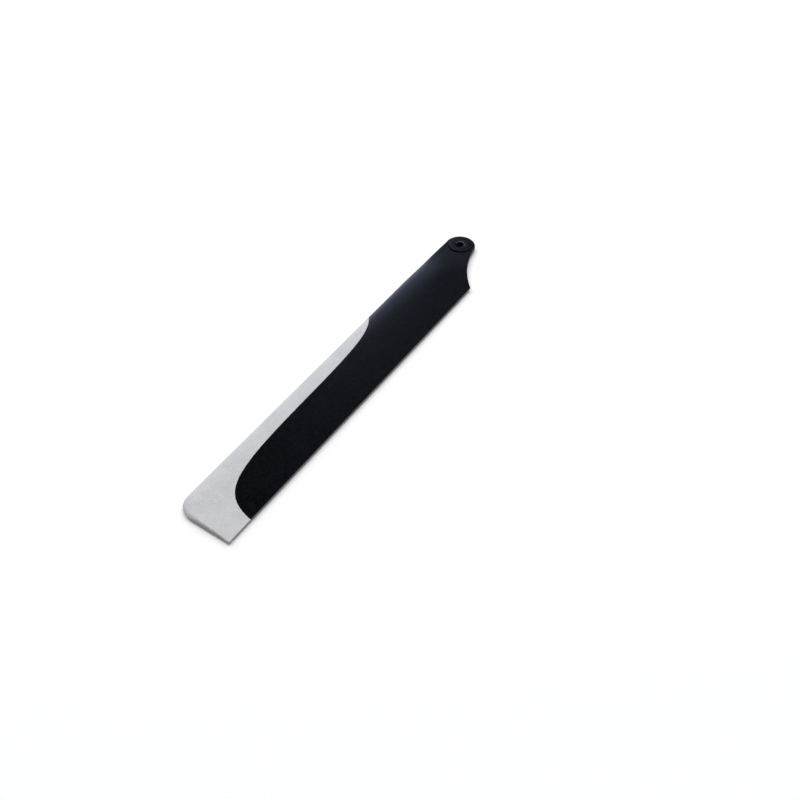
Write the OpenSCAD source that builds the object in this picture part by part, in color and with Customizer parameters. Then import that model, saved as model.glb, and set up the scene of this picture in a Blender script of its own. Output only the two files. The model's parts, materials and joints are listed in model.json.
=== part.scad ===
// Main rotor blade of a small model helicopter, moulded in one piece of black plastic.
// The bolt hole's axis is Z. X runs out along the blade to the tip, and the leading edge faces -Y.
// The chord plane is z = 0, and the section is the same above and below it.

/* [Blade] */
// Distance from the bolt hole's axis out to the trailing corner of the tip
blade_radius = 121; // [80:0.5:200]
// Distance from the bolt hole's axis forward to the leading edge
leading_offset = 4.75; // [4.4:0.05:6]
// Distance from the bolt hole's axis back to the trailing edge at the notch
trailing_offset = 11.6; // [9:0.05:16]
// How much wider the chord is at the tip than at the notch
tip_flare = 0.4; // [0:0.1:2]
// Thickness of the section at its thickest, three tenths of the chord behind the leading edge
section_t = 1.85; // [1.4:0.05:2.2]
// Thickness that the section behind its nose has thinned to at the tip
tip_t = 1.3; // [1:0.05:1.8]
// Thickness of the trailing edge
trailing_t = 0.3; // [0.2:0.05:0.5]

/* [Root] */
// Radius of the round root end
root_r = 4.15; // [3.9:0.05:4.6]
// Thickness of the flat root
root_t = 1.5; // [1.2:0.05:2]
// Rounding along the edges of the flat root
root_edge_r = 0.35; // [0.2:0.05:0.5]
// Diameter of the bolt hole
bolt_d = 2.1; // [1.6:0.05:2.5]
// Diameter of the bolt hole's bevelled mouth on each face
mouth_d = 2.7; // [2.5:0.1:4]
// Depth of that bevel
mouth_h = 0.15; // [0.1:0.05:0.5]
// Diameter of the raised pad on each face of the root
pad_d = 6.4; // [5:0.1:7]
// Height of each pad above the flat root
pad_h = 0.35; // [0.2:0.05:0.6]
// Bevel round the pad's rim and fillet round its foot
pad_edge = 0.05; // [0.05:0.05:0.2]
// Distance from the bolt hole's axis to where the flat root begins to turn into the section
blend_from = 4.2; // [4:0.1:6]
// Distance from the bolt hole's axis to where the full section begins
blend_to = 16; // [14:0.5:30]
// Distance over which the leading edge draws in to the round root end
lead_run = 22; // [16:1:60]

/* [Notch] */
// Distance from the bolt hole's axis to the sharp corner of the notch
notch_x = 13.9; // [11:0.1:20]
// Radius of the hollow curve between the root end and that corner
notch_r = 26; // [20:0.5:60]

/* [Tip] */
// Angle by which the tip is cut back towards the leading edge
tip_rake = 4.4; // [0:0.2:12]
// Radius of the leading corner of the tip, seen from above
tip_corner_r = 5.2; // [2:0.1:7]
// Depth of the rounding over the end of the tip
tip_edge = 0.55; // [0.4:0.05:1.5]
// Depth of that rounding at the leading corner
tip_nose = 2; // [0.8:0.1:2]

/* [Hidden] */
// Flat left along the leading edge and the tip where the mould's halves meet
edge_flat = 0.12;
// Sections round the root end, through the notch, along the blade and round the tip's corner
root_steps = 14;
notch_steps = 12;
span_steps = 16;
corner_steps = 14;
// Strips across the chord on each face
chord_steps = 24;
// Share of the chord over which the section's full nose gives way to the rest
nose_share = 0.45;
// Half angle of the short flat that closes the root end
root_flat_a = 3;
// Distance by which the bolt hole's cutter passes each pad
cut_over = 1;

pad_t = root_t + 2 * pad_h;
pad_r = pad_d / 2;

// Centre of the hollow curve: it touches the round root end and passes through the notch's corner
notch_reach = norm([notch_x, trailing_offset]);
notch_along = ((root_r + notch_r) ^ 2 - notch_r ^ 2 + notch_reach ^ 2) / (2 * notch_reach);
notch_across = sqrt((root_r + notch_r) ^ 2 - notch_along ^ 2);
notch_c = [
    (notch_along * notch_x - notch_across * trailing_offset) / notch_reach,
    (notch_along * trailing_offset + notch_across * notch_x) / notch_reach
];
// Where the hollow curve leaves the round root end
notch_from = root_r * notch_c[0] / norm(notch_c);

// Centre of the tip's rounded leading corner
tip_y = trailing_offset + tip_flare;
corner_c = [
    tip_x(tip_corner_r - leading_offset) - tip_corner_r / cos(tip_rake),
    tip_corner_r - leading_offset
];

function tip_x(y) = blade_radius - (tip_y - y) * tan(tip_rake);
function within(s) = min(max(s, 0), 1);
function smooth(s) = let (c = within(s)) c * c * (3 - 2 * c);
function mix(a, b, s) = a + (b - a) * s;
function round_in(d, r) = sqrt(r ^ 2 - (r - min(max(d, 0), r)) ^ 2);

// Outline of the blade seen from above: how far the edges lie before and behind the bolt's axis at x
function lead_y(x) = x < 0
    ? -sqrt(root_r ^ 2 - x ^ 2)
    : -mix(root_r, leading_offset, smooth(x / lead_run));
function trail_y(x) =
    x < notch_from ? sqrt(root_r ^ 2 - x ^ 2)
    : x < notch_x ? notch_c[1] - sqrt(notch_r ^ 2 - (x - notch_c[0]) ^ 2)
    : trailing_offset + tip_flare * (x - notch_x) / (blade_radius - notch_x);

// Half the thickness of the flat root, with rounded edges, at a distance d in from the outline
function root_half(d) = root_t / 2 - root_edge_r + round_in(d, root_edge_r);
function root_inset(p, c, chord) = p[0] < 0 ? root_r - norm(p) : min(c, 1 - c) * chord;

// Thickness of the section at its thickest: behind its nose it thins evenly on the way out to the tip
function thickest(x, c) =
    mix(section_t, tip_t, within((x - blend_to) / (blade_radius - blend_to)) * smooth(c / nose_share));

// Half the thickness of a symmetrical aerofoil of thickness t, at a share c of the chord
function foil_half(c, t) =
    5 * t * (0.2969 * sqrt(c) - 0.1260 * c - 0.3516 * c ^ 2 + 0.2843 * c ^ 3 - 0.1036 * c ^ 4)
    + c * trailing_t / 2;

// Share of the chord used for the section: before the notch's corner it is that of the uncut blade
function section_share(p, c) = p[0] < notch_x
    ? (p[1] - lead_y(p[0])) / (trailing_offset - lead_y(p[0]))
    : c;

// Share of the thickness that the tip's rounding leaves, at a distance in from the end of the tip
function tip_share(inset, c) =
    let (depth = mix(tip_nose, tip_edge, smooth(c / nose_share)))
    round_in(inset, depth) / depth;

// A station is its leading point, its trailing point and its distance in from the end of the tip
function upright(x) = [[x, lead_y(x)], [x, trail_y(x)], tip_corner_r];
function raked(p) =
    let (inset = tip_x(p[1]) - p[0])
    [p, [blade_radius - inset, trail_y(blade_radius - inset)], inset];
function leaning(s) =
    let (
        x = mix(blend_to, corner_c[0], s),
        lean = (tip_x(tip_y) - tip_x(-leading_offset)) * smooth(s),
        x_back = min(x + lean, blade_radius)
    )
    [[x, lead_y(x)], [x_back, trail_y(x_back)], tip_corner_r];
function corner_point(a) = corner_c + tip_corner_r * [sin(a), -cos(a)];

stations = [
    for (i = [0 : root_steps]) upright(-root_r * cos(mix(root_flat_a, 90, i / root_steps))),
    for (i = [1 : notch_steps]) upright(notch_x * i / notch_steps),
    for (i = [0 : span_steps - 1]) leaning(i / span_steps),
    for (i = [0 : corner_steps]) raked(corner_point((90 - tip_rake) * i / corner_steps))
];

function half_thickness(station, c) =
    let (
        chord = norm(station[1] - station[0]),
        p = mix(station[0], station[1], c),
        share = smooth((p[0] - blend_from) / (blend_to - blend_from)),
        foil = foil_half(section_share(p, c), thickest(p[0], c)),
        body = mix(root_half(root_inset(p, c, chord)), foil, share)
    )
    max(body * tip_share(station[2], c), edge_flat / 2);

// One closed ring of points: over the top from the leading edge to the trailing edge, and back below
function ring(station) = [
    for (side = [1, -1], i = [0 : chord_steps])
        let (
            k = side > 0 ? i : chord_steps - i,
            c = (1 - cos(180 * k / chord_steps)) / 2,
            p = mix(station[0], station[1], c)
        )
        [p[0], p[1], side * half_thickness(station, c)]
];

// Skin through all the stations, closed at the root end and at the tip
module skin() {
    sides = 2 * (chord_steps + 1);
    last = len(stations) - 1;
    points = [for (s = stations) each ring(s)];
    walls = [
        for (i = [0 : last - 1], k = [0 : sides - 1])
            let (
                a = i * sides + k,
                b = i * sides + (k + 1) % sides
            )
            each [[a, b, b + sides], [a, b + sides, a + sides]]
    ];
    root_cap = [for (k = [sides - 1 : -1 : 0]) k];
    tip_cap = [for (k = [0 : sides - 1]) last * sides + k];
    polyhedron(points, concat(walls, [root_cap, tip_cap]));
}

// Raised pads on both faces, as one turned disc with bevelled rims and a fillet at each foot
module pads() {
    rim = pad_t / 2;
    foot = root_t / 2;
    rotate_extrude($fn = 96)
        polygon([
            [0, -rim],
            [pad_r - pad_edge, -rim],
            [pad_r, -rim + pad_edge],
            [pad_r, -foot - pad_edge],
            [pad_r + 2 * pad_edge, -foot + pad_edge],
            [pad_r + 2 * pad_edge, foot - pad_edge],
            [pad_r, foot + pad_edge],
            [pad_r, rim - pad_edge],
            [pad_r - pad_edge, rim],
            [0, rim]
        ]);
}

// Bolt hole, with a bevelled mouth on each pad
module bolt_hole() {
    rim = pad_t / 2;
    rotate_extrude($fn = 64)
        polygon([
            [0, -rim - cut_over],
            [mouth_d / 2, -rim - cut_over],
            [mouth_d / 2, -rim],
            [bolt_d / 2, -rim + mouth_h],
            [bolt_d / 2, rim - mouth_h],
            [mouth_d / 2, rim],
            [mouth_d / 2, rim + cut_over],
            [0, rim + cut_over]
        ]);
}

// The whole moulding: the lofted blade with its pads and its bolt hole
module rotor_blade() {
    color("#1b1c20")
        difference() {
            union() {
                skin();
                pads();
            }
            bolt_hole();
        }
}

rotor_blade();
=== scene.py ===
import json
import math

import bmesh
import bpy
import numpy as np
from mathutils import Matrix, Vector


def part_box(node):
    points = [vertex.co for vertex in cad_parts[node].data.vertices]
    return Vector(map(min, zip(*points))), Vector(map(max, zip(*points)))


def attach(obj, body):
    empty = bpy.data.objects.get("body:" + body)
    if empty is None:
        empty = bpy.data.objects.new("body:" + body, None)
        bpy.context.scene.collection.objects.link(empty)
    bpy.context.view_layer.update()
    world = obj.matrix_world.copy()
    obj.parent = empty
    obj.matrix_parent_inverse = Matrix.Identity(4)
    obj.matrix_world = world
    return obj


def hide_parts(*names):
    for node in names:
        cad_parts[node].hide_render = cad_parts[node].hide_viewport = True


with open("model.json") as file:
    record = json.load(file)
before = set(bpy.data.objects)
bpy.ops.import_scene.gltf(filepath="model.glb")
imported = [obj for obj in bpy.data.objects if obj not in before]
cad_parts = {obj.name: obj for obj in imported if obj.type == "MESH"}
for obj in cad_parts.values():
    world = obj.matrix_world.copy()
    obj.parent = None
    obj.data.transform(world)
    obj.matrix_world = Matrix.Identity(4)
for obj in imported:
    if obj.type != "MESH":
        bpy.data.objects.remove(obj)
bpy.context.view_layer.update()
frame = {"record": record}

# Blade
# One injection moulding of black glass-filled nylon. The two halves of the mould meet along its edges.
# Its flat round root slides between the jaws of the rotor head's grip, and one bolt through it holds it.
# Sizes are in millimetres, and those of the whole blade come from the frame.
MM = 0.001
lowest, highest = (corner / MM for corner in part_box("rotor_blade"))
bolt_hole = next(mount for mount in frame["record"]["mounts"] if mount["name"] == "bolt_hole")
bolt_r = bolt_hole["dims"]["r_mm"]
bolt_wall = bolt_hole["dims"]["length_mm"] / 2
mouth_r = 1.35
pad_top = highest.z
pad_r = 3.2
pad_edge = 0.05
pad_foot_r = 3.5
root_end_x = lowest.x
root_r = 4.15
root_t = 1.5
root_edge_r = 0.35
root_span = 6.0
blend_from = 4.2
blend_to = 16.0
notch_x = 13.9
notch_r = 26.0
leading_offset = -lowest.y
lead_run = 22.0
blade_radius = highest.x
tip_y = highest.y
tip_flare = 0.4
trailing_offset = tip_y - tip_flare
section_t = 1.85
tip_t = 1.3
trailing_t = 0.3
edge_flat = 0.12
tip_rake = math.radians(4.4)
tip_corner_r = 5.2
tip_edge = 0.55
tip_nose = 2.0
nose_share = 0.45
# edge_flat is the flat that is left along the edges where the mould's halves meet. nose_share is the share
# of the chord over which the full nose gives way to the section behind it, which thins towards the tip.

# The notch's hollow curve touches the round root end and passes through the notch's sharp corner.
notch_reach = math.hypot(notch_x, trailing_offset)
notch_along = ((root_r + notch_r) ** 2 - notch_r**2 + notch_reach**2) / (2 * notch_reach)
notch_across = math.sqrt((root_r + notch_r) ** 2 - notch_along**2)
notch_cx = (notch_along * notch_x - notch_across * trailing_offset) / notch_reach
notch_cy = (notch_along * trailing_offset + notch_across * notch_x) / notch_reach
notch_from = root_r * notch_cx / math.hypot(notch_cx, notch_cy)


def smooth(share):
    """A share from nought to one, eased at both ends."""
    share = np.clip(share, 0, 1)
    return share * share * (3 - 2 * share)


def rounding(depth, radius):
    """Height that a quarter round has reached at a depth in from its edge."""
    return np.sqrt(radius**2 - (radius - np.clip(depth, 0, radius)) ** 2)


def lead_y(x):
    """The leading edge: round the root end, then out to the full chord in a slow curve."""
    straight = -root_r - (leading_offset - root_r) * smooth(x / lead_run)
    return np.where(x < 0, -np.sqrt(np.maximum(root_r**2 - x**2, 0)), straight)


def trail_y(x):
    """The trailing edge: round the root end, along the notch, then straight out to the tip."""
    round_end = np.sqrt(np.maximum(root_r**2 - x**2, 0))
    hollow = notch_cy - np.sqrt(np.maximum(notch_r**2 - (x - notch_cx) ** 2, 0))
    straight = trailing_offset + tip_flare * (x - notch_x) / (blade_radius - notch_x)
    return np.select([x < notch_from, x < notch_x], [round_end, hollow], straight)


def tip_x(y):
    """The raked end of the tip."""
    return blade_radius - (tip_y - y) * math.tan(tip_rake)


def half_thickness(x, y, share, chord, tip_inset):
    """Half the blade's thickness at a point that lies a share of the chord behind the leading edge.

    The flat root blends into a symmetrical aerofoil, which thins behind its nose on the way out. The end
    of the tip is rounded over. Before the notch's corner the section is that of the uncut blade.
    """
    inset = np.where(x < 0, root_r - np.hypot(x, y), np.minimum(share, 1 - share) * chord)
    flat = root_t / 2 - root_edge_r + rounding(inset, root_edge_r)
    lead = lead_y(x)
    uncut = np.maximum(y - lead, 0) / (trailing_offset - lead)
    c = np.where(x < notch_x, uncut, share)
    # Half the thickness of a common four-figure aerofoil, for a chord of one and a thickness of a fifth
    curve = 0.2969 * np.sqrt(c) - 0.1260 * c - 0.3516 * c**2 + 0.2843 * c**3 - 0.1036 * c**4
    thinned = np.clip((x - blend_to) / (blade_radius - blend_to), 0, 1)
    thickest = section_t + (tip_t - section_t) * thinned * smooth(c / nose_share)
    foil = np.hypot(5 * thickest * curve + c * trailing_t / 2, edge_flat / 2)
    body = flat + (foil - flat) * smooth((x - blend_from) / (blend_to - blend_from))
    tip_depth = tip_nose + (tip_edge - tip_nose) * smooth(share / nose_share)
    return np.maximum(body * rounding(tip_inset, tip_depth) / tip_depth, edge_flat / 2)


def eased(corners, trim, steps):
    """Points along a turned profile, with each corner eased by a short curve."""
    points = [corners[0]]
    for before, corner, after in zip(corners, corners[1:], corners[2:]):
        ends = []
        for other in (before, after):
            reach = other - corner
            ends.append(corner + reach * min(trim / np.linalg.norm(reach), 0.5))
        for s in np.linspace(0, 1, steps + 1):
            points.append((1 - s) ** 2 * ends[0] + 2 * s * (1 - s) * corner + s**2 * ends[1])
    return np.array(points + [corners[-1]])


# Rays from the bolt's axis end on the rim of the root: across the blade at root_span, back along the notch,
# round the root end and out along the leading edge.
chord_steps = 60
hollow_points = 24
end_points = 84
front_points = 16
chord_shares = (1 - np.cos(np.linspace(0, math.pi, chord_steps + 1))) / 2
cut_x = np.full(chord_steps + 1, root_span)
cut_y = lead_y(cut_x) + (trail_y(cut_x) - lead_y(cut_x)) * chord_shares
hollow_x = np.linspace(root_span, notch_from, hollow_points)[1:]
end_turn = np.linspace(math.acos(notch_from / root_r), 1.5 * math.pi, end_points)[1:]
front_x = np.linspace(0, root_span, front_points)[1:-1]
rim = np.concatenate([
    np.column_stack([cut_x, cut_y]),
    np.column_stack([hollow_x, trail_y(hollow_x)]),
    np.column_stack([np.maximum(root_r * np.cos(end_turn), root_end_x), root_r * np.sin(end_turn)]),
    np.column_stack([front_x, lead_y(front_x)]),
])
ray = rim / np.linalg.norm(rim, axis=1)[:, None]

# The bore, its bevelled mouth and the pad are turned about the bolt's axis, with the flat root round them.
# The lower side is the upper one mirrored.
mould_ease = 0.04
ease_steps = 5
sheet_steps = 20
pad_profile = eased(
    np.array([
        [bolt_r, 0],
        [bolt_r, bolt_wall],
        [mouth_r, pad_top],
        [pad_r - pad_edge, pad_top],
        [pad_r, pad_top - pad_edge],
        [pad_r, root_t / 2 + pad_edge],
        [pad_r + pad_edge, root_t / 2],
        [pad_foot_r, root_t / 2],
    ]),
    mould_ease,
    ease_steps,
)
upper_rows = [np.column_stack([ray * r, np.full(len(ray), z)]) for r, z in pad_profile]
for out in np.linspace(0, 1, sheet_steps + 1)[1:]:
    x, y = (ray * pad_foot_r + (rim - ray * pad_foot_r) * (1 - (1 - out) ** 2)).T
    chord = trail_y(x) - lead_y(x)
    share = np.clip((y - lead_y(x)) / chord, 0, 1)
    upper_rows.append(np.column_stack([x, y, half_thickness(x, y, share, chord, tip_corner_r)]))
root_sheet = np.array([row * (1, 1, -1) for row in upper_rows[:0:-1]] + upper_rows)

# Stations along the blade stand across it as far as the full section, then lean over to the tip's rake,
# and at last their front ends go round the leading corner. Each has two ends and a distance in from the
# end of the tip.
notch_points = 40
blend_points = 13
span_points = 170
corner_points = 64
corner_y = tip_corner_r - leading_offset
corner_x = tip_x(corner_y) - tip_corner_r / math.cos(tip_rake)
upright_x = np.concatenate([
    np.linspace(root_span, notch_x, notch_points),
    np.linspace(notch_x, blend_to, blend_points)[1:-1],
])
lean = np.linspace(0, 1, span_points)[:-1]
leaning_x = blend_to + (corner_x - blend_to) * lean
leaning_back_x = leaning_x + (tip_x(tip_y) - tip_x(-leading_offset)) * smooth(lean)
corner_turn = np.linspace(0, math.pi / 2 - tip_rake, corner_points)
raked_x = corner_x + tip_corner_r * np.sin(corner_turn)
raked_y = corner_y - tip_corner_r * np.cos(corner_turn)
raked_inset = tip_x(raked_y) - raked_x
raked_back_x = blade_radius - raked_inset
front = np.column_stack([
    np.concatenate([upright_x, leaning_x, raked_x]),
    np.concatenate([lead_y(upright_x), lead_y(leaning_x), raked_y]),
])
back_x = np.concatenate([upright_x, leaning_back_x, raked_back_x])
back = np.column_stack([back_x, trail_y(back_x)])
full_section = np.full(len(upright_x) + len(leaning_x), tip_corner_r)
station_inset = np.concatenate([full_section, raked_inset])
flat_xy = front[:, None] + (back - front)[:, None] * chord_shares[None, :, None]
height = half_thickness(
    flat_xy[..., 0],
    flat_xy[..., 1],
    chord_shares[None, :],
    np.linalg.norm(back - front, axis=1)[:, None],
    station_inset[:, None],
)
over = np.dstack([flat_xy, height])
under = np.dstack([flat_xy, -height])[:, ::-1]
skin = np.concatenate([over, under], axis=1)


def quads(grid_rows, grid_columns, first):
    """Faces between neighbouring rows of a grid of points whose rows close on themselves."""
    row, column = np.mgrid[0 : grid_rows - 1, 0:grid_columns]
    beside = (column + 1) % grid_columns
    near, far = row * grid_columns + first, (row + 1) * grid_columns + first
    corners = np.stack([near + column, near + beside, far + beside, far + column], axis=-1)
    return corners.reshape(-1, 4).tolist()


# The root sheet closes along its rim, except where it meets the first station, and the end of the tip
# closes the last one. Where sheet and stations meet, their points are welded.
weld_mm = 0.0002
sharp_angle = math.radians(40)
rays = len(ray)
skin_first = root_sheet.shape[0] * rays
faces = quads(root_sheet.shape[0], rays, 0) + quads(*skin.shape[:2], skin_first)
rim_top = skin_first - rays
faces += [
    [a, (a + 1) % rays, rim_top + (a + 1) % rays, rim_top + a]
    for a in range(chord_steps, rays)
]
ring = skin.shape[1]
tip_first = skin_first + (len(skin) - 1) * ring
tip_last = tip_first + ring - 1
faces += [
    [tip_first + k, tip_first + k + 1, tip_last - k - 1, tip_last - k]
    for k in range(chord_steps)
]
points = np.concatenate([root_sheet.reshape(-1, 3), skin.reshape(-1, 3)]) * MM

blade_mesh = bpy.data.meshes.new("blade_moulding")
blade_mesh.from_pydata(points.tolist(), [], faces)
welded = bmesh.new()
welded.from_mesh(blade_mesh)
bmesh.ops.remove_doubles(welded, verts=welded.verts, dist=weld_mm * MM)
bmesh.ops.recalc_face_normals(welded, faces=welded.faces)
welded.to_mesh(blade_mesh)
welded.free()
blade_mesh.shade_smooth()
blade_mesh.set_sharp_from_angle(angle=sharp_angle)
blade = bpy.data.objects.new("blade_moulding", blade_mesh)
bpy.context.collection.objects.link(blade)
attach(blade, "root")
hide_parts("rotor_blade")

# White paint on the blade
# A thin sprayed coat of white enamel over the leading edge and the tip, so that the turning blade is seen.
# A mask gave it a crisp edge: it sweeps in from the leading edge, runs along the blade and sweeps out behind.
# Each sweep is a cubic curve, given by its two ends and the two points that pull it.
sweep_in = [(38.9, -4.75), (43.3, -0.94), (50.4, -0.36), (72.0, -0.18)]
sweep_out = [(72.0, -0.18), (103.8, 0.0), (110.3, 1.06), (112.9, 11.8)]
sweep_points = 48
line_run_out = 4.0


def paint_depth(x, y):
    """Distance in millimetres from the paint's edge, above nought on the painted side."""
    s = np.linspace(0, 1, sweep_points, endpoint=False)[:, None]
    line = [np.array([sweep_in[0]]) - (0, line_run_out)]
    for a, b, c, d in np.array([sweep_in, sweep_out]):
        line.append((1 - s) ** 3 * a + 3 * s * (1 - s) ** 2 * b + 3 * s**2 * (1 - s) * c + s**3 * d)
    line.append(np.array([sweep_out[-1]]))
    line.append(line[-1] + (0, line_run_out))
    line = np.concatenate(line)
    nearest = np.full(len(x), np.inf)
    for start, end in zip(line, line[1:]):
        run = end - start
        along = np.clip(((x - start[0]) * run[0] + (y - start[1]) * run[1]) / (run @ run), 0, 1)
        nearest = np.minimum(nearest, np.hypot(x - start[0] - along * run[0], y - start[1] - along * run[1]))
    edge_y = np.interp(x, line[:, 0], line[:, 1], left=-np.inf, right=np.inf)
    return np.where(y < edge_y, nearest, -nearest)


place = np.empty(len(blade_mesh.vertices) * 3)
blade_mesh.vertices.foreach_get("co", place)
x, y, _ = place.reshape(-1, 3).T / MM
paint_attribute = blade_mesh.attributes.new("paint_depth", "FLOAT", "POINT")
paint_attribute.data.foreach_set("value", paint_depth(x, y))


def linear(hex_colour):
    """Linear colour of an sRGB hex value."""
    parts = [int(hex_colour[i : i + 2], 16) / 255 for i in (1, 3, 5)]
    return [p / 12.92 if p <= 0.04045 else ((p + 0.055) / 1.055) ** 2.4 for p in parts] + [1]


def add_node(tree, kind, inputs=(), **settings):
    """Adds a node with its settings, and gives its inputs a value or a link from another node's socket.

    Inputs go by name or number. A Mix node's factor is 0, its numbers are 2 and 3 and its colours 6 and 7.
    """
    made = tree.nodes.new(kind)
    for name, value in settings.items():
        setattr(made, name, value)
    for name, value in dict(inputs).items():
        if isinstance(value, bpy.types.NodeSocket):
            tree.links.new(value, made.inputs[name])
        else:
            made.inputs[name].default_value = value
    return made


# Black glass-filled nylon under white enamel: the mould's eroded steel leaves a fine satin grain that
# breaks up the sheen, and the enamel over it is duller. Glass fibres in the nylon show as faint flecks.
# Grain of about 0.1 mm is drawn at 0.3 mm and fibres of 0.01 mm as flecks of 0.6 mm, so that they show.
grain_mm = 0.3
fleck_mm = 0.6
cloud_mm = 7.0
cloud_share = 0.3
grain_height_mm = 0.012
paint_height_mm = 0.03
paint_blur_mm = 0.05
paint_stray_mm = 0.06
finish = bpy.data.materials.new("black_nylon_with_white_enamel")
finish.use_nodes = True
tree = finish.node_tree
shader = tree.nodes["Principled BSDF"]
shader.inputs["IOR"].default_value = 1.5
shader.inputs["Specular IOR Level"].default_value = 0.32
shader.inputs["Specular Tint"].default_value = linear("#cad8ff")
where = add_node(tree, "ShaderNodeTexCoord").outputs["Object"]
grain = add_node(
    tree, "ShaderNodeTexNoise", {"Vector": where, "Scale": 1 / (grain_mm * MM), "Detail": 3, "Roughness": 0.6}
).outputs["Fac"]
cloud = add_node(
    tree, "ShaderNodeTexNoise", {"Vector": where, "Scale": 1 / (cloud_mm * MM), "Detail": 2, "Roughness": 0.5}
).outputs["Fac"]
edge = add_node(tree, "ShaderNodeAttribute", attribute_name="paint_depth").outputs["Fac"]
stray = add_node(
    tree,
    "ShaderNodeMapRange",
    {"Value": grain, "From Min": 0.2, "From Max": 0.8, "To Min": -paint_stray_mm, "To Max": paint_stray_mm},
).outputs["Result"]
strayed = add_node(tree, "ShaderNodeMath", {0: edge, 1: stray}, operation="ADD").outputs["Value"]
painted = add_node(
    tree,
    "ShaderNodeMapRange",
    {"Value": strayed, "From Min": -paint_blur_mm, "From Max": paint_blur_mm},
    interpolation_type="SMOOTHSTEP",
).outputs["Result"]
mottle = add_node(
    tree, "ShaderNodeMix", {0: cloud_share, 2: grain, 3: cloud}, data_type="FLOAT"
).outputs[0]
speckle = add_node(
    tree, "ShaderNodeMapRange", {"Value": mottle, "From Min": 0.35, "From Max": 0.65}
).outputs["Result"]
fleck = add_node(
    tree, "ShaderNodeTexNoise", {"Vector": where, "Scale": 1 / (fleck_mm * MM), "Detail": 1, "Roughness": 0.5}
).outputs["Fac"]
fibres = add_node(
    tree, "ShaderNodeMapRange", {"Value": fleck, "From Min": 0.35, "From Max": 0.65}
).outputs["Result"]
nylon = add_node(
    tree, "ShaderNodeMix", {0: fibres, 6: linear("#000000"), 7: linear("#0c0c0f")}, data_type="RGBA"
).outputs[2]
enamel = add_node(
    tree, "ShaderNodeMix", {0: speckle, 6: linear("#c5c5c7"), 7: linear("#e0dfe0")}, data_type="RGBA"
).outputs[2]
colour = add_node(tree, "ShaderNodeMix", {0: painted, 6: nylon, 7: enamel}, data_type="RGBA").outputs[2]
nylon_rough = add_node(
    tree, "ShaderNodeMapRange", {"Value": speckle, "To Min": 0.17, "To Max": 0.23}
).outputs["Result"]
enamel_rough = add_node(
    tree, "ShaderNodeMapRange", {"Value": speckle, "To Min": 0.4, "To Max": 0.5}
).outputs["Result"]
rough = add_node(
    tree, "ShaderNodeMix", {0: painted, 2: nylon_rough, 3: enamel_rough}, data_type="FLOAT"
).outputs[0]
coat = add_node(
    tree, "ShaderNodeMath", {0: painted, 1: paint_height_mm}, operation="MULTIPLY"
).outputs["Value"]
relief = add_node(
    tree, "ShaderNodeMath", {0: grain, 1: grain_height_mm, 2: coat}, operation="MULTIPLY_ADD"
).outputs["Value"]
bump = add_node(tree, "ShaderNodeBump", {"Height": relief, "Strength": 1, "Distance": MM}).outputs["Normal"]
tree.links.new(colour, shader.inputs["Base Color"])
tree.links.new(rough, shader.inputs["Roughness"])
tree.links.new(bump, shader.inputs["Normal"])
blade_mesh.materials.append(finish)

# Dull nylon: the bolt hole is reamed to size after moulding, and is matt and dark, with torn fibres. The same
# dark matt finish is laid on a thin ring at the foot of each pad as painted shade of the pad's step.
fibre_and_shade_mm = 0.15
dull_nylon_and_foot_shade = bpy.data.materials.new("dull_nylon_and_foot_shade")
dull_nylon_and_foot_shade.use_nodes = True
tree = dull_nylon_and_foot_shade.node_tree
shader = tree.nodes["Principled BSDF"]
shader.inputs["IOR"].default_value = 1.5
shader.inputs["Specular IOR Level"].default_value = 0.1
where = add_node(tree, "ShaderNodeTexCoord").outputs["Object"]
fibre_and_shade_noise = add_node(
    tree, "ShaderNodeTexNoise", {"Vector": where, "Scale": 1 / (fibre_and_shade_mm * MM), "Detail": 2}
).outputs["Fac"]
bore_and_foot_shade_colour = add_node(
    tree, "ShaderNodeMix", {0: fibre_and_shade_noise, 6: linear("#020203"), 7: linear("#08080a")}, data_type="RGBA"
).outputs[2]
dull = add_node(tree, "ShaderNodeMapRange", {"Value": fibre_and_shade_noise, "To Min": 0.6, "To Max": 0.8}).outputs["Result"]
tree.links.new(bore_and_foot_shade_colour, shader.inputs["Base Color"])
tree.links.new(dull, shader.inputs["Roughness"])
blade_mesh.materials.append(dull_nylon_and_foot_shade)
middle = np.empty(len(blade_mesh.polygons) * 3)
blade_mesh.polygons.foreach_get("center", middle)
x, y, _ = middle.reshape(-1, 3).T / MM
from_axis = np.hypot(x, y)
# The ring round the foot of each pad is painted shade: a dark matt band where the pad's step shades the root.
painted_shade_at_pad_foot = (from_axis > pad_r) & (from_axis < pad_foot_r)
blade_mesh.polygons.foreach_set("material_index", ((from_axis < bolt_r) | painted_shade_at_pad_foot).astype(np.int32))

# Floor
# A wide sheet of white paper on a table. It lies level under the root's lower pad, and keeps the shadow.
# Beyond the reach of the lamps it is shown as white as under them, and from below it is clear.
# Light that it throws back on the blade is that of greyer paper, so that the blade's edges stay dark.
floor_half = 3.0
floor_z = lowest.z * MM
floor_glow = 0.13
lit_reach = 0.4
white_reach = 1.2
floor_corners = [(-1, -1), (1, -1), (1, 1), (-1, 1)]
floor_mesh = bpy.data.meshes.new("floor")
floor_mesh.from_pydata(
    [(x * floor_half, y * floor_half, floor_z) for x, y in floor_corners], [], [(0, 1, 2, 3)]
)
floor = bpy.data.objects.new("floor", floor_mesh)
bpy.context.collection.objects.link(floor)
paper = bpy.data.materials.new("white_paper")
paper.use_nodes = True
tree = paper.node_tree
tree.nodes.remove(tree.nodes["Principled BSDF"])
path = add_node(tree, "ShaderNodeLightPath").outputs
seen = add_node(
    tree, "ShaderNodeMath", {0: path["Is Camera Ray"], 1: path["Is Glossy Ray"]}, operation="MAXIMUM"
).outputs["Value"]
seen = add_node(
    tree, "ShaderNodeMath", {0: seen, 1: path["Is Transmission Ray"]}, operation="MAXIMUM"
).outputs["Value"]
where = add_node(tree, "ShaderNodeTexCoord").outputs["Object"]
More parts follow.
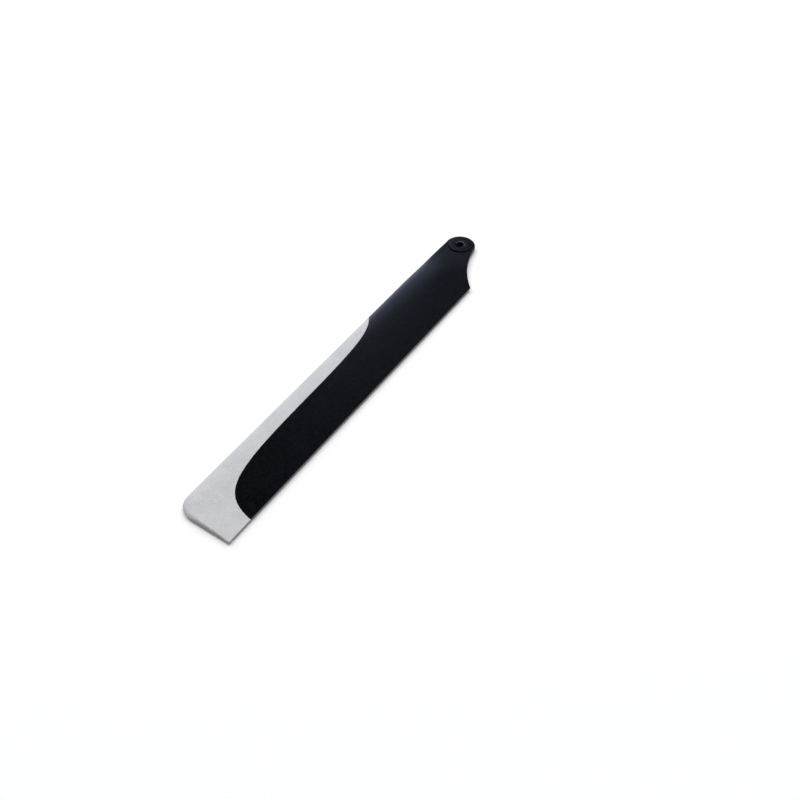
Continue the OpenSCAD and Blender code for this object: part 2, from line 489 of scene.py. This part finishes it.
reach = add_node(tree, "ShaderNodeVectorMath", {0: where}, operation="LENGTH").outputs["Value"]
glow_share = add_node(
    tree,
    "ShaderNodeMapRange",
    {"Value": reach, "From Min": lit_reach, "From Max": white_reach, "To Min": floor_glow, "To Max": 1},
).outputs["Result"]
glow_strength = add_node(
    tree, "ShaderNodeMath", {0: seen, 1: glow_share}, operation="MULTIPLY"
).outputs["Value"]
sheet = add_node(
    tree,
    "ShaderNodeMix",
    {0: path["Is Diffuse Ray"], 6: linear("#ffffff"), 7: linear("#b4b4b4")},
    data_type="RGBA",
).outputs[2]
matt = add_node(tree, "ShaderNodeBsdfDiffuse", {"Color": sheet}).outputs["BSDF"]
glow = add_node(tree, "ShaderNodeEmission", {"Strength": glow_strength}).outputs["Emission"]
lit = add_node(tree, "ShaderNodeAddShader", {0: matt, 1: glow}).outputs["Shader"]
below = add_node(tree, "ShaderNodeNewGeometry").outputs["Backfacing"]
clear = add_node(tree, "ShaderNodeBsdfTransparent").outputs["BSDF"]
surface = add_node(tree, "ShaderNodeMixShader", {0: below, 1: lit, 2: clear}).outputs["Shader"]
tree.links.new(surface, tree.nodes["Material Output"].inputs["Surface"])
floor_mesh.materials.append(paper)

# Camera
# It looks down on the blade from in front of the tip, with the root at the far end.
# A turn of nought looks along +Y.
view_turn = math.radians(122.72)
view_down = math.radians(43.65)
view_reach = 372.65 * MM
view_target = Vector((60.85, 19.24, 0)) * MM
view_lens = 67.5
view_back = Vector((
    math.sin(view_turn) * math.cos(view_down),
    -math.cos(view_turn) * math.cos(view_down),
    math.sin(view_down),
))
camera = bpy.data.objects.new("camera", bpy.data.cameras.new("camera"))
camera.data.lens = view_lens
camera.data.clip_start = 0.01
camera.location = view_target + view_back * view_reach
camera.rotation_euler = (-view_back).to_track_quat("-Z", "Y").to_euler()
bpy.context.collection.objects.link(camera)
bpy.context.scene.camera = camera

# Light
# Two soft boxes hang overhead, one before the leading edge and one beyond the root, so the shadows are
# soft and fall behind the trailing edge and before the tip. Three more rise at the back, each dimmer than
# the one below, and their reflection is the sheen that fades from the leading edge.
room_dim = 0.05


def soft_box(name, left, up, reach, width, depth, watts, colour):
    """An area lamp that faces the blade.

    It stands at a turn to the left of straight behind the blade and at an angle up, both in degrees.
    Its reach, width and depth are in metres.
    """
    lamp = bpy.data.lights.new(name, "AREA")
    lamp.shape = "RECTANGLE"
    lamp.size = width
    lamp.size_y = depth
    lamp.energy = watts
    lamp.color = linear(colour)[:3]
    turn = view_turn + math.radians(left)
    ahead = Vector((-math.sin(turn), math.cos(turn), 0))
    away = ahead * math.cos(math.radians(up)) + Vector((0, 0, math.sin(math.radians(up))))
    box = bpy.data.objects.new(name, lamp)
    box.location = view_target + away * reach
    box.rotation_euler = (-away).to_track_quat("-Z", "Y").to_euler()
    bpy.context.collection.objects.link(box)


soft_box("leading_box", left=57, up=73, reach=3.0, width=0.9, depth=3.2, watts=52, colour="#ffffff")
soft_box("root_box", left=-48, up=60, reach=3.0, width=0.8, depth=2.6, watts=37, colour="#ffffff")
soft_box("low_back_box", left=18, up=12.5, reach=0.8, width=0.6, depth=0.38, watts=1.4, colour="#dce8ff")
soft_box("middle_back_box", left=21, up=33, reach=0.8, width=0.6, depth=0.2, watts=0.33, colour="#e6eeff")
soft_box("high_back_box", left=-21, up=44.5, reach=0.8, width=0.5, depth=0.17, watts=0.055, colour="#ffffff")

# The room is white where it is seen itself, and dim in the plastic's gloss.
room = bpy.context.scene.world or bpy.data.worlds.new("room")
bpy.context.scene.world = room
room.use_nodes = True
tree = room.node_tree
tree.nodes["Background"].inputs["Color"].default_value = linear("#ffffff")
path = add_node(tree, "ShaderNodeLightPath").outputs
seen = add_node(
    tree, "ShaderNodeMath", {0: path["Is Camera Ray"], 1: path["Is Transmission Ray"]}, operation="MAXIMUM"
).outputs["Value"]
strength = add_node(
    tree, "ShaderNodeMapRange", {"Value": seen, "To Min": room_dim, "To Max": 1}
).outputs["Result"]
tree.links.new(strength, tree.nodes["Background"].inputs["Strength"])

bpy.context.scene.view_settings.view_transform = "Standard"
